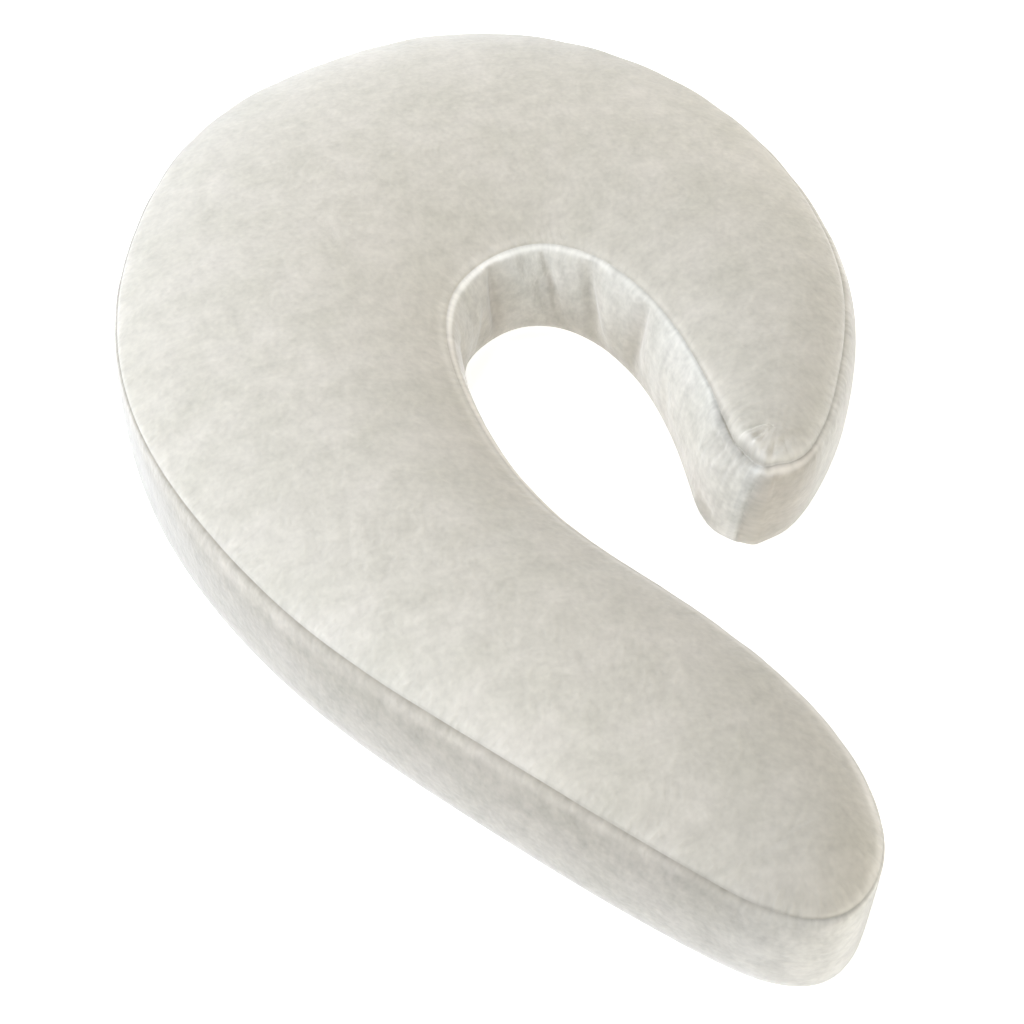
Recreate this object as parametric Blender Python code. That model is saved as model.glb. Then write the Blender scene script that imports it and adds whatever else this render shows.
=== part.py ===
"""Hook-shaped body pillow, lying on its back.

One filled cushion: a crowned top panel, a boxing strip that stands out between two drawn-in
seams, and a bottom panel that lies flat where it rests.  The wide body narrows into a straight
leg at one end and curls over into a short hook at the other.

Metres, +Z up.  +Y runs from the round end of the leg to the top of the hook, and +X points
from the body towards the hook's free end.  The origin is under the middle of the whole shape.
"""
import math
from collections import namedtuple

import bmesh
import bpy
import numpy as np

# Heights above the surface that the pillow lies on
TOP_SEAM = 0.143
BOTTOM_SEAM = 0.010

# The two seams, and the cloth beside them
SEAM_CLIMB = 0.0045         # the cloth climbs steeply out of a seam by this much
SEAM_CREEP = 0.0015         # ... while it moves away along its own panel by only this much
SOLE_MARGIN = 0.045         # the bottom panel is flat further in than this from its seam

# Plan of the top seam.  Each row is one section across the pillow, from the leg's round end to
# the hook's corner: its point on the outer side and its point on the inner side (x, y), how far
# the top panel rises above its seam half way between them, and the boxing's shape below each of
# the two points: how full it is, and how far the bottom seam lies outside the top one (foot).
# Both sides meet at the two ends.
Section = namedtuple(
    "Section",
    "outer_x outer_y inner_x inner_y crown outer_full outer_foot inner_full inner_foot",
)
SECTIONS = (
    Section(0.068, -0.711, 0.068, -0.711, 0.029, 0.008, -0.002, 0.008, -0.002),
    Section(0.015, -0.688, 0.127, -0.680, 0.029, 0.012, -0.002, 0.0, -0.004),
    Section(-0.026, -0.645, 0.156, -0.601, 0.031, 0.011, 0.001, 0.007, -0.002),
    Section(-0.107, -0.540, 0.122, -0.423, 0.036, 0.013, 0.006, 0.007, 0.0),
    Section(-0.214, -0.395, 0.044, -0.280, 0.039, 0.013, 0.006, 0.009, 0.004),
    Section(-0.317, -0.243, -0.029, -0.153, 0.040, 0.012, 0.002, 0.009, 0.006),
    Section(-0.395, -0.070, -0.063, -0.020, 0.043, 0.010, 0.003, 0.009, 0.008),
    Section(-0.440, 0.115, -0.068, 0.085, 0.045, 0.003, 0.001, 0.009, 0.008),
    Section(-0.433, 0.285, -0.054, 0.171, 0.048, 0.004, 0.0, 0.009, 0.007),
    Section(-0.363, 0.476, -0.019, 0.230, 0.049, 0.008, 0.002, 0.009, 0.005),
    Section(-0.240, 0.629, 0.028, 0.260, 0.049, 0.010, 0.004, 0.009, 0.004),
    Section(-0.065, 0.704, 0.068, 0.271, 0.048, 0.010, 0.004, 0.009, 0.006),
    Section(0.119, 0.711, 0.107, 0.266, 0.047, 0.012, 0.004, 0.009, 0.009),
    Section(0.293, 0.621, 0.149, 0.235, 0.044, 0.014, 0.004, 0.009, 0.009),
    Section(0.410, 0.450, 0.186, 0.171, 0.040, 0.015, 0.004, 0.009, 0.010),
    Section(0.449, 0.256, 0.207, 0.089, 0.036, 0.016, 0.004, 0.010, 0.013),
    Section(0.426, 0.072, 0.212, -0.005, 0.034, 0.016, 0.0, 0.010, 0.018),
    Section(0.355, -0.068, 0.205, -0.078, 0.031, 0.016, -0.004, 0.010, 0.020),
    Section(0.298, -0.142, 0.204, -0.112, 0.027, 0.011, -0.010, 0.009, 0.020),
    Section(0.253, -0.169, 0.210, -0.138, 0.025, 0.008, -0.008, 0.009, 0.019),
    Section(0.223, -0.163, 0.223, -0.163, 0.025, 0.006, 0.006, 0.006, 0.006),
)
STEPS = 6                   # mesh columns from one section to the next
LEG_FAN = 2                 # sections whose ribs fan out round the leg's end
TIP_FAN = 2                 # sections whose ribs fan out round the hook's corner

# Gathers of the boxing on the inside of the hook.  Each runs from the top seam to the bottom
# one; its two ends are measured along the top seam from the hook's corner.  A ridge stands
# out and a valley (less than 0) goes in, by rise, and fades over spread to each side.
Gather = namedtuple("Gather", "top foot spread rise")
GATHERS = (
    Gather(0.594, 0.600, 0.022, 0.004),
    Gather(0.555, 0.545, 0.020, -0.005),
    Gather(0.517, 0.493, 0.018, 0.004),
    Gather(0.440, 0.373, 0.022, -0.007),
    Gather(0.350, 0.340, 0.020, 0.004),
    Gather(0.307, 0.299, 0.016, -0.006),
)

# Rumples of the top panel at the hook's corner: a hollow beside the inner seam, the fold that
# stands up next to it, and the lip that the corner's seam turns over.
Rumple = namedtuple("Rumple", "x y heading length width rise")
RUMPLES = (
    Rumple(0.211, -0.108, math.radians(-82), 0.030, 0.006, -0.006),
    Rumple(0.225, -0.128, math.radians(-70), 0.026, 0.007, 0.005),
    Rumple(0.247, -0.152, math.radians(20), 0.016, 0.005, -0.003),
)
CLOSING_SEAM = 0.004        # how far the boxing's upright seam is drawn in at the corner

# Rows of mesh, as fractions: across the top panel from seam to spine, down the boxing strip,
# and across the bottom panel's rounded margin.
PANEL_ROWS = (0.06, 0.14, 0.26, 0.42, 0.60, 0.80)
STRIP_ROWS = (0.12, 0.24, 0.38, 0.52, 0.66, 0.78, 0.89)
MARGIN_ROWS = (0.35, 0.70, 1.0)


def smooth_line(points, steps):
    """A natural cubic spline through the points, with the given steps from one to the next."""
    points = np.array(points)
    knots = np.concatenate([[0.0], np.cumsum(np.linalg.norm(np.diff(points, axis=0), axis=1))])
    gaps = np.diff(knots)
    slopes = np.diff(points, axis=0) / gaps[:, None]
    count = len(points)
    system = np.eye(count)
    right_side = np.zeros_like(points)
    for i in range(1, count - 1):
        system[i, i - 1:i + 2] = gaps[i - 1], 2 * (gaps[i - 1] + gaps[i]), gaps[i]
        right_side[i] = 6 * (slopes[i] - slopes[i - 1])
    bend = np.linalg.solve(system, right_side)
    line = []
    for i, gap in enumerate(gaps):
        for step in range(steps):
            after = gap * step / steps
            before = gap - after
            line.append(
                (bend[i] * before ** 3 + bend[i + 1] * after ** 3) / (6 * gap)
                + (points[i] / gap - bend[i] * gap / 6) * before
                + (points[i + 1] / gap - bend[i + 1] * gap / 6) * after
            )
    return np.array(line)


def seam_outline():
    """The seam's plan, anticlockwise from the hook's corner by the outer side and the leg."""
    outer = [(row.outer_x, row.outer_y) for row in SECTIONS]
    inner = [(row.inner_x, row.inner_y) for row in SECTIONS]
    return smooth_line(outer[::-1] + inner[1:], STEPS)


def outward(outline):
    """Unit vectors that point out of the pillow, square to the seam."""
    along = np.roll(outline, -1, axis=0) - np.roll(outline, 1, axis=0)
    out = np.stack([along[:, 1], -along[:, 0]], axis=1)
    return out / np.linalg.norm(out, axis=1)[:, None]


def rib_numbers(count):
    """For each column, the number of the rib that it belongs to, counted from the hook."""
    last = count // 2
    numbers = np.minimum(np.arange(count), count - np.arange(count))
    return np.clip(numbers, TIP_FAN * STEPS, last - LEG_FAN * STEPS)


def panel_rise(share):
    """Height of the top panel, from 0 at its seam to 1 on the spine."""
    return (1 - (1 - share) ** 2) ** 0.85


def strip_fullness(share):
    """How far the boxing stands out, 1 at its middle: fullest low down, where it is pressed."""
    roundness = 2.4 if share < 0.5 else 4.0
    return (1 - abs(2 * share - 1) ** roundness) ** 0.75


def along_outline(outer_column, inner_column, count):
    """A column of the table for the outer side and one for the inner, spread round the seam."""
    values = [getattr(row, outer_column) for row in SECTIONS[::-1]]
    values += [getattr(row, inner_column) for row in SECTIONS[1:]]
    return np.interp(np.arange(count) / STEPS, range(len(values)), values)[:, None]


def gathered(from_corner, share):
    """How far the gathers move the boxing out, at a share of the way down it."""
    rise = np.zeros_like(from_corner)
    for gather in GATHERS:
        middle = gather.top + (gather.foot - gather.top) * share
        rise += gather.rise * np.exp(-((from_corner - middle) / gather.spread) ** 2)
    return rise * math.sin(math.pi * share) ** 0.5


def rumpled(plan):
    """How far the corner's rumples lift the top panel."""
    rise = np.zeros(len(plan))
    for rumple in RUMPLES:
        x, y = (plan - (rumple.x, rumple.y)).T
        along = x * math.cos(rumple.heading) + y * math.sin(rumple.heading)
        across = y * math.cos(rumple.heading) - x * math.sin(rumple.heading)
        rise += rumple.rise * np.exp(-(along / rumple.length) ** 2 - (across / rumple.width) ** 2)
    return rise


def pillow_rings():
    """Rings of points round the pillow, from the top panel's spine to the flat of the sole."""
    outline = seam_outline()
    out = outward(outline)
    count = len(outline)
    ribs = rib_numbers(count)
    spine = (outline[ribs] + outline[(count - ribs) % count]) / 2
    reach = np.linalg.norm(spine - outline, axis=1)[:, None]
    inward = (spine - outline) / reach
    crown = along_outline("crown", "crown", count)[ribs, 0]
    full = along_outline("outer_full", "inner_full", count)
    foot = along_outline("outer_foot", "inner_foot", count)
    foot_outline = outline + out * foot
    edges = np.linalg.norm(np.roll(outline, -1, axis=0) - outline, axis=1)
    from_corner = edges[::-1].cumsum()[::-1][:, None]
    closing = np.zeros((count, 1))
    closing[0] = CLOSING_SEAM

    def ring(plan, height):
        return np.column_stack([plan, np.broadcast_to(height, count)])

    rings = []
    for share in (1.0,) + PANEL_ROWS[::-1] + (0.0,):
        plan = outline + inward * (SEAM_CREEP + (reach - SEAM_CREEP) * share)
        height = SEAM_CLIMB + (crown - SEAM_CLIMB) * panel_rise(share)
        rings.append(ring(plan, TOP_SEAM + height + rumpled(plan)))
    rings.append(ring(outline, TOP_SEAM))
    for share in (0.0,) + STRIP_ROWS + (1.0,):
        bulge = SEAM_CLIMB + full * strip_fullness(share) + foot * share
        bulge += gathered(from_corner, share) - closing
        top, bottom = TOP_SEAM - SEAM_CREEP, BOTTOM_SEAM + SEAM_CREEP
        rings.append(ring(outline + out * bulge, top + (bottom - top) * share))
    rings.append(ring(foot_outline, BOTTOM_SEAM))
    for share in (0.0,) + MARGIN_ROWS:
        inset = SEAM_CREEP + (SOLE_MARGIN - SEAM_CREEP) * share
        height = (BOTTOM_SEAM - SEAM_CLIMB) * (1 - share) ** 2
        rings.append(ring(foot_outline + inward * inset, height))
    return rings, ribs


def build_pillow():
    rings, ribs = pillow_rings()
    count = len(ribs)
    points = np.concatenate(rings)
    middle = (points.min(axis=0) + points.max(axis=0)) / 2
    rings = [ring - (middle[0], middle[1], 0.0) for ring in rings]
    mesh = bmesh.new()
    spine_points = {}
    for rib, point in zip(ribs, rings[0]):
        if rib not in spine_points:
            spine_points[rib] = mesh.verts.new(point)
    rows = [[spine_points[rib] for rib in ribs]]
    rows += [[mesh.verts.new(point) for point in ring] for ring in rings[1:]]
    for upper, lower in zip(rows, rows[1:]):
        for i in range(count):
            j = (i + 1) % count
            corners = [upper[i], lower[i], lower[j], upper[j]]
            if upper[i] is upper[j]:
                corners.pop()
            mesh.faces.new(corners)
    sole = rows[-1]
    for i in range(1, count // 2):
        corners = [sole[i], sole[i + 1], sole[-i - 1], sole[-i]]
        if sole[i + 1] is sole[-i - 1]:
            corners.pop(2)
        mesh.faces.new(corners[::-1])
    mesh.faces.new([sole[0], sole[-1], sole[1]])
    bmesh.ops.recalc_face_normals(mesh, faces=mesh.faces)
    data = bpy.data.meshes.new("pillow")
    mesh.to_mesh(data)
    mesh.free()
    return data


def velour():
    material = bpy.data.materials.new("ivory_velour")
    material.use_nodes = True
    shader = material.node_tree.nodes["Principled BSDF"]
    shader.inputs["Base Color"].default_value = (0.66, 0.63, 0.55, 1.0)
    shader.inputs["Roughness"].default_value = 0.9
    shader.inputs["Metallic"].default_value = 0.0
    shader.inputs["Sheen Weight"].default_value = 0.6
    return material


def main():
    for old in list(bpy.data.objects):
        bpy.data.objects.remove(old, do_unlink=True)
    data = build_pillow()
    data.materials.append(velour())
    data.shade_smooth()
    pillow = bpy.data.objects.new("pillow", data)
    bpy.context.collection.objects.link(pillow)


main()
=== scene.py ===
"""Hook-shaped body pillow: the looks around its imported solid."""

import math
from collections import namedtuple

import bmesh
import bpy
import numpy as np
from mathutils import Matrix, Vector


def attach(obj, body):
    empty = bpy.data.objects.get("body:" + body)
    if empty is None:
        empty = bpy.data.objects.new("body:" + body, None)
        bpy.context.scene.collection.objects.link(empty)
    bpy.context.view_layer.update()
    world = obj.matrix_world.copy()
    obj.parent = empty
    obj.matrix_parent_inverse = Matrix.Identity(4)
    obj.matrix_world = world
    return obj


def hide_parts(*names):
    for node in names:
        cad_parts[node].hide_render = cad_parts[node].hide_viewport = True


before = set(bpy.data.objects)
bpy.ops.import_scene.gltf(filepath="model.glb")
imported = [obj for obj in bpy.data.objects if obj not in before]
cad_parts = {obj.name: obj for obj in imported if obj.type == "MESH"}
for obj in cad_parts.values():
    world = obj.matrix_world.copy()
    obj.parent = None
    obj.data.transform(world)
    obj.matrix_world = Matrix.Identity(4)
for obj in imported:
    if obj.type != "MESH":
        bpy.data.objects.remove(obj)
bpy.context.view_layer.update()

# ---- The pillow ------------------------------------------------------------------------------
# One cover of short-pile ivory velour, stuffed tight with fibre: a crowned top panel, a boxing
# strip sewn to it and to the bottom panel with plain seams, and one upright seam at the hook's
# corner that closes the strip into a ring.

TOP_SEAM = 0.143            # heights of the two seams above what the pillow lies on
BOTTOM_SEAM = 0.010
STRIP_HEIGHT = TOP_SEAM - BOTTOM_SEAM
SEAM_CLIMB = 0.0045         # the cloth climbs this far out of a plain seam before it rounds over
SEAM_TURN = 0.0011          # ... most of it within this distance
SOLE_MARGIN = 0.045         # the bottom panel is flat further in than this from its seam
CLOSING_SEAM = 0.0045       # how far the upright seam is drawn in
CLOSING_LEAN = 0.011        # how far its foot lies along the inner side
CLOSING_REACH = 0.07        # ... and how far round the pillow the cloth leans with it
CLOSING_FADE = 4            # the greater, the nearer to its foot it stays drawn in
CLOSING_GAP = 0.0012        # the pile in it parts as little as it does this far from the others
CORNER_POINT = 0.0035       # how far the boxing comes to a point on both sides of it
CORNER_REACH = 0.012        # ... and over what length
CROWN_ROUND = 0.85          # the top panel's section: the smaller, the squarer its shoulders
STRIP_ROUND = 0.75          # the boxing's section: the smaller, the squarer
UPPER_FULLNESS = 2.4        # ... and the greater, the nearer to a seam its upper or lower half
LOWER_FULLNESS = 4.0        # stays full

# Each row is one section across the pillow, from the leg's round end to the hook's corner: the
# seam's point on the outer side and on the inner side, how far the top panel rises between
# them, and how full the boxing is below each point and how far its foot lies outside (metres).
Section = namedtuple(
    "Section",
    "outer_x outer_y inner_x inner_y crown outer_full outer_foot inner_full inner_foot",
)
SECTIONS = (
    Section(0.068, -0.711, 0.068, -0.711, 0.033, 0.008, -0.002, 0.008, -0.002),
    Section(0.015, -0.688, 0.127, -0.680, 0.035, 0.012, -0.002, 0.0, -0.004),
    Section(-0.026, -0.645, 0.156, -0.601, 0.040, 0.011, 0.001, 0.007, -0.002),
    Section(-0.107, -0.540, 0.122, -0.423, 0.047, 0.013, 0.006, 0.007, 0.0),
    Section(-0.214, -0.395, 0.044, -0.280, 0.050, 0.013, 0.006, 0.009, 0.004),
    Section(-0.317, -0.243, -0.029, -0.153, 0.051, 0.012, 0.002, 0.009, 0.006),
    Section(-0.395, -0.070, -0.063, -0.020, 0.051, 0.010, 0.003, 0.009, 0.008),
    Section(-0.440, 0.115, -0.068, 0.085, 0.050, 0.003, 0.001, 0.009, 0.008),
    Section(-0.433, 0.285, -0.054, 0.171, 0.050, 0.004, 0.0, 0.009, 0.007),
    Section(-0.363, 0.476, -0.019, 0.230, 0.049, 0.008, 0.002, 0.009, 0.005),
    Section(-0.240, 0.629, 0.028, 0.260, 0.049, 0.010, 0.004, 0.009, 0.004),
    Section(-0.065, 0.704, 0.068, 0.271, 0.048, 0.010, 0.004, 0.009, 0.006),
    Section(0.119, 0.711, 0.107, 0.266, 0.047, 0.012, 0.004, 0.009, 0.009),
    Section(0.293, 0.621, 0.149, 0.235, 0.044, 0.014, 0.004, 0.009, 0.009),
    Section(0.410, 0.450, 0.186, 0.171, 0.040, 0.015, 0.004, 0.009, 0.010),
    Section(0.449, 0.256, 0.207, 0.089, 0.036, 0.016, 0.004, 0.010, 0.013),
    Section(0.426, 0.072, 0.212, -0.005, 0.034, 0.016, 0.0, 0.010, 0.018),
    Section(0.355, -0.068, 0.209, -0.078, 0.031, 0.016, -0.005, 0.010, 0.024),
    Section(0.298, -0.142, 0.208, -0.111, 0.027, 0.011, -0.011, 0.009, 0.024),
    Section(0.253, -0.169, 0.213, -0.136, 0.025, 0.008, -0.012, 0.009, 0.023),
    Section(0.223, -0.163, 0.223, -0.163, 0.025, 0.006, 0.002, 0.006, 0.002),
)
STEPS = 10                  # columns of cloth from one section to the next
LEG_FAN = 2                 # sections whose ribs fan out round the leg's end
TIP_FAN = 2                 # sections whose ribs fan out round the hook's corner
COLUMNS = 2 * (len(SECTIONS) - 1) * STEPS
FOOT_BLEND = 6              # the boxing's foot is averaged over this many columns on each side

# Rows of cloth.  Beside a seam they lie at these distances from it; further in, at fractions.
LIP_ROWS = (0.0004, 0.0012, 0.0027, 0.0050, 0.0085, 0.0135, 0.020)
FIELD_ROWS = 13             # rows from there to the edge of the middle band
MIDDLE_BAND = 0.80          # the band along the spine starts at this share of the way in
BAND_ROWS = 8               # rows across that band, from its outer edge to its inner one
STRIP_ROWS = 9              # rows of the boxing between its lips
SOLE_LIP_ROWS = LIP_ROWS + (0.032, SOLE_MARGIN)     # the bottom panel's, in to its flat
SOLE_ROWS = 6               # rows across that flat

# How the cloth rolls over the top seam, round from the hook's corner: plus is along the inner
# side, minus along the outer one.  The panel climbs and the boxing stands out by these amounts,
# each over its own turn; the seam is lifted with the cloth beside it, or sunk between its rolled
# edges.  Painted shade darkens the seam's crease over one width, and a painted highlight lightens
# the rolled edges of the panel and of the boxing over another.  The last three columns are painted
# light and shade: for the boxing below the top seam and at its foot, and for the panel beside the
# seam.  The boxing's changes at the corner, where the strip's two ends meet.
Roll = namedtuple(
    "Roll",
    "at panel_climb panel_turn boxing_climb boxing_turn lift sink dark dark_width"
    " panel_pale boxing_pale pale_width nap foot_nap panel_nap",
)
ROLLS = (
    Roll(-3.070, 0.0045, 0.0011, 0.0045, 0.0011, 0.0, 0.0, 0.6, 1.0, 0.10, 0.15, 1.2, 1.14, 1.11, 0.98),
    Roll(-2.960, 0.0042, 0.0011, 0.0040, 0.0011, 0.0, 0.0, 0.5, 1.1, 0.10, 0.20, 1.4, 0.86, 0.97, 0.97),
    Roll(-2.820, 0.0038, 0.0011, 0.0034, 0.0011, 0.0, 0.0, 0.4, 1.1, 0.10, 0.55, 1.8, 0.79, 0.88, 0.98),
    Roll(-2.550, 0.0037, 0.0011, 0.0032, 0.0011, 0.0, 0.0, 0.4, 0.9, 0.05, 0.60, 2.6, 0.77, 0.80, 1.05),
    Roll(-2.270, 0.0036, 0.0011, 0.0030, 0.0011, 0.0, 0.0, 0.4, 0.9, 0.00, 0.60, 3.2, 0.71, 0.76, 0.97),
    Roll(-2.000, 0.0036, 0.0011, 0.0030, 0.0011, 0.0, 0.0, 0.4, 0.9, 0.00, 0.40, 2.6, 0.67, 0.72, 0.94),
    Roll(-1.700, 0.0036, 0.0011, 0.0030, 0.0011, 0.0, 0.0, 0.4, 0.9, 0.10, 0.40, 1.6, 0.75, 0.76, 0.99),
    Roll(-0.300, 0.0040, 0.0011, 0.0040, 0.0011, 0.0, 0.0, 0.2, 1.0, 0.00, 0.30, 1.0, 1.06, 1.06, 1.02),
    Roll(-0.140, 0.0045, 0.0013, 0.0050, 0.0015, 0.0, 0.0, 0.4, 1.3, 0.00, 0.30, 1.0, 1.13, 1.17, 1.11),
    Roll(-0.085, 0.0045, 0.0012, 0.0050, 0.0012, 0.001, 0.0, 0.6, 1.4, 0.00, 0.50, 1.0, 1.12, 1.22, 1.13),
    Roll(-0.056, 0.0045, 0.0010, 0.0075, 0.0010, 0.003, 0.0, 0.5, 1.0, 0.10, 1.30, 1.2, 0.90, 0.96, 1.13),
    Roll(-0.035, 0.0045, 0.0010, 0.0110, 0.0010, 0.005, 0.0, 0.5, 0.9, 0.20, 2.00, 1.6, 0.82, 0.83, 1.12),
    Roll(-0.012, 0.0055, 0.0012, 0.0115, 0.0010, 0.004, 0.0, 0.8, 0.9, 0.30, 2.20, 1.8, 0.80, 0.79, 1.08),
    Roll(-0.001, 0.0070, 0.0020, 0.0100, 0.0010, 0.001, 0.001, 0.9, 1.2, 0.40, 1.60, 1.8, 0.79, 0.78, 1.04),
    Roll(0.001, 0.0080, 0.0025, 0.0090, 0.0012, 0.000, 0.002, 1.0, 2.4, 0.50, 0.60, 2.0, 1.34, 1.28, 1.04),
    Roll(0.014, 0.0125, 0.0037, 0.0080, 0.0018, -0.002, 0.003, 1.0, 5.4, 0.80, 0.00, 2.4, 1.19, 1.18, 1.02),
    Roll(0.034, 0.0150, 0.0042, 0.0085, 0.0024, -0.002, 0.004, 0.9, 8.6, 1.30, 0.00, 2.8, 1.14, 1.04, 1.00),
    Roll(0.062, 0.0145, 0.0042, 0.0085, 0.0026, -0.002, 0.004, 0.9, 8.6, 1.20, 0.00, 2.8, 1.18, 0.87, 1.00),
    Roll(0.086, 0.0100, 0.0030, 0.0080, 0.0024, 0.0, 0.004, 1.0, 4.8, 0.60, 0.00, 2.0, 1.24, 0.80, 1.00),
    Roll(0.125, 0.0055, 0.0013, 0.0060, 0.0013, 0.0, 0.001, 0.9, 1.6, 0.40, 0.10, 1.2, 1.28, 0.79, 1.00),
    Roll(0.250, 0.0040, 0.0011, 0.0070, 0.0011, 0.0, 0.0, 0.6, 1.0, 0.25, 0.25, 1.2, 1.25, 0.92, 1.00),
    Roll(0.300, 0.0036, 0.0010, 0.0080, 0.0011, 0.0, 0.0, 0.6, 0.9, 0.20, 0.25, 1.4, 1.19, 0.76, 1.00),
    Roll(0.340, 0.0030, 0.0010, 0.0085, 0.0011, 0.001, 0.0, 0.4, 0.9, 0.10, 0.35, 1.4, 1.22, 0.74, 1.00),
    Roll(0.420, 0.0022, 0.0010, 0.0090, 0.0012, 0.001, 0.0, 0.25, 0.8, 0.15, 0.65, 1.5, 1.17, 0.92, 1.00),
    Roll(0.510, 0.0015, 0.0010, 0.0095, 0.0012, 0.001, 0.0, 0.05, 0.8, 0.30, 0.90, 1.5, 1.26, 1.08, 0.98),
    Roll(0.570, 0.0012, 0.0010, 0.0100, 0.0012, 0.001, 0.0, 0.0, 0.8, 0.35, 1.20, 1.4, 1.21, 0.84, 1.00),
    Roll(0.640, 0.0010, 0.0010, 0.0100, 0.0012, 0.001, 0.0, 0.0, 0.8, 0.40, 1.45, 1.3, 1.11, 0.97, 1.00),
    Roll(0.720, 0.0008, 0.0010, 0.0090, 0.0012, 0.001, 0.0, 0.0, 0.8, 0.50, 1.60, 1.3, 0.90, 0.93, 0.98),
    Roll(0.900, 0.0008, 0.0011, 0.0060, 0.0011, 0.0, 0.0, 0.0, 1.0, 0.60, 1.50, 1.2, 1.00, 1.00, 0.93),
    Roll(1.200, 0.0008, 0.0011, 0.0025, 0.0011, 0.0, 0.0, 0.0, 1.0, 0.70, 1.00, 1.2, 1.00, 1.00, 0.94),
    Roll(1.520, 0.0010, 0.0011, 0.0022, 0.0011, 0.0, 0.0, 0.0, 1.0, 0.80, 0.90, 1.3, 1.08, 1.08, 0.95),
    Roll(1.600, 0.0022, 0.0011, 0.0030, 0.0011, 0.0, 0.0, 0.0, 1.0, 0.60, 0.60, 1.2, 1.15, 1.20, 0.97),
    Roll(1.650, 0.0042, 0.0011, 0.0042, 0.0011, 0.0, 0.0, 0.5, 1.0, 0.15, 0.15, 1.2, 1.16, 1.18, 1.00),
)
PAINTED_FOLD_LIGHT = 8.0            # painted light on a fold and painted shade in a hollow: so much lighter for each metre it stands out
PAINTED_LIGHT_FADE = 1.7              # the greater, the closer to the seam the panel's painted light and shade keeps its change
LIFT_REACH = 0.016          # how far from the seam its lift and its wandering are felt
SINK_REACH = 0.0010         # ... and its sinking

# No seam is sewn quite even.  This one wanders a little all the way round.  Near the corner it is
# ragged: its rolled edges and the painted shade of its dark line swell and shrink by these shares.
WANDER = 0.0007
WANDER_WAVES = (0.083, 0.131, 0.211)
RAGGED_PLACE = 0.030
RAGGED_REACH = 0.060
RAGGED_ROLL = 0.40
RAGGED_ROLL_WAVES = (0.0107, 0.0183, 0.0311)
RAGGED_DARK = 0.5
RAGGED_DARK_WAVES = (0.0093, 0.0171, 0.027)
RAGGED_LIFT = 0.004
WAVE_SHIFT = 1.7            # each of the waves starts this many radians after the one before it

# Gathers of the boxing inside the hook, from the top seam to the bottom one; distances are
# along the top seam from the hook's corner, and the spreads are on the side towards the corner
# and on the side away from it.  A ridge stands out, a valley (less than 0) goes in.
GATHER_FADE = 0.35          # they die out over this share of the boxing's height at its foot
Gather = namedtuple("Gather", "top foot near far rise")
GATHERS = (
    Gather(0.640, 0.640, 0.020, 0.030, 0.004),
    Gather(0.600, 0.606, 0.014, 0.022, 0.006),
    Gather(0.556, 0.545, 0.022, 0.012, -0.009),
    Gather(0.523, 0.462, 0.016, 0.013, 0.006),
    Gather(0.468, 0.428, 0.012, 0.012, -0.003),
    Gather(0.432, 0.404, 0.012, 0.012, -0.001),
    Gather(0.408, 0.377, 0.032, 0.011, -0.010),
    Gather(0.362, 0.346, 0.012, 0.018, 0.007),
    Gather(0.300, 0.308, 0.032, 0.013, -0.010),
    Gather(0.262, 0.280, 0.013, 0.012, 0.003),
    Gather(0.235, 0.225, 0.018, 0.018, 0.003),
)

# Short creases of the boxing beside the upright seam; "down" is the share of its height.
Crease = namedtuple("Crease", "along down heading length width rise")
CREASES = (
    Crease(0.046, 0.76, math.radians(163), 0.016, 0.005, -0.005),
    Crease(0.052, 0.86, math.radians(166), 0.018, 0.006, 0.004),
    Crease(0.064, 0.13, math.radians(12), 0.026, 0.010, -0.007),
    Crease(0.075, 0.30, math.radians(20), 0.030, 0.012, 0.003),
)

# Rumples of the top panel at the hook's corner: a hollow beside the inner seam, the fold that
# stands up next to it, and the lip that the corner's seam turns over.
Rumple = namedtuple("Rumple", "x y heading length width rise")
RUMPLES = (
    Rumple(0.211, -0.106, math.radians(-84), 0.030, 0.006, -0.006),
    Rumple(0.215, -0.131, math.radians(-70), 0.027, 0.0072, 0.0085),
    Rumple(0.228, -0.133, math.radians(-66), 0.016, 0.0055, -0.0028),
    Rumple(0.225, -0.149, math.radians(-20), 0.010, 0.0045, -0.004),
    Rumple(0.247, -0.152, math.radians(20), 0.018, 0.005, -0.004),
)


def smooth_line(points, steps):
    """A natural cubic spline through the points, with the given steps from one to the next."""
    points = np.array(points)
    knots = np.concatenate([[0.0], np.cumsum(np.linalg.norm(np.diff(points, axis=0), axis=1))])
    gaps = np.diff(knots)
    slopes = np.diff(points, axis=0) / gaps[:, None]
    count = len(points)
    system = np.eye(count)
    right_side = np.zeros_like(points)
    for i in range(1, count - 1):
        system[i, i - 1:i + 2] = gaps[i - 1], 2 * (gaps[i - 1] + gaps[i]), gaps[i]
        right_side[i] = 6 * (slopes[i] - slopes[i - 1])
    bend = np.linalg.solve(system, right_side)
    line = []
    for i, gap in enumerate(gaps):
        for step in range(steps):
            after = gap * step / steps
            before = gap - after
            line.append(
                (bend[i] * before ** 3 + bend[i + 1] * after ** 3) / (6 * gap)
                + (points[i] / gap - bend[i] * gap / 6) * before
                + (points[i + 1] / gap - bend[i + 1] * gap / 6) * after
            )
    return np.array(line)


def spread_round_seam(outer_column, inner_column):
    """A column of the table for the outer side and one for the inner, spread round the seam."""
    values = [getattr(row, outer_column) for row in SECTIONS[::-1]]
    values += [getattr(row, inner_column) for row in SECTIONS[1:]]
    return np.interp(np.arange(COLUMNS) / STEPS, range(len(values)), values)


def blended(values, columns):
    """Values round the seam, each averaged with those of some columns on both sides of it."""
    shifts = range(-columns, columns + 1)
    return sum(np.roll(values, shift) for shift in shifts) / len(shifts)


def panel_rise(share):
    """Height of the top panel, from 0 at its seam to 1 on the spine."""
    return (1 - (1 - share) ** 2) ** CROWN_ROUND


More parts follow.
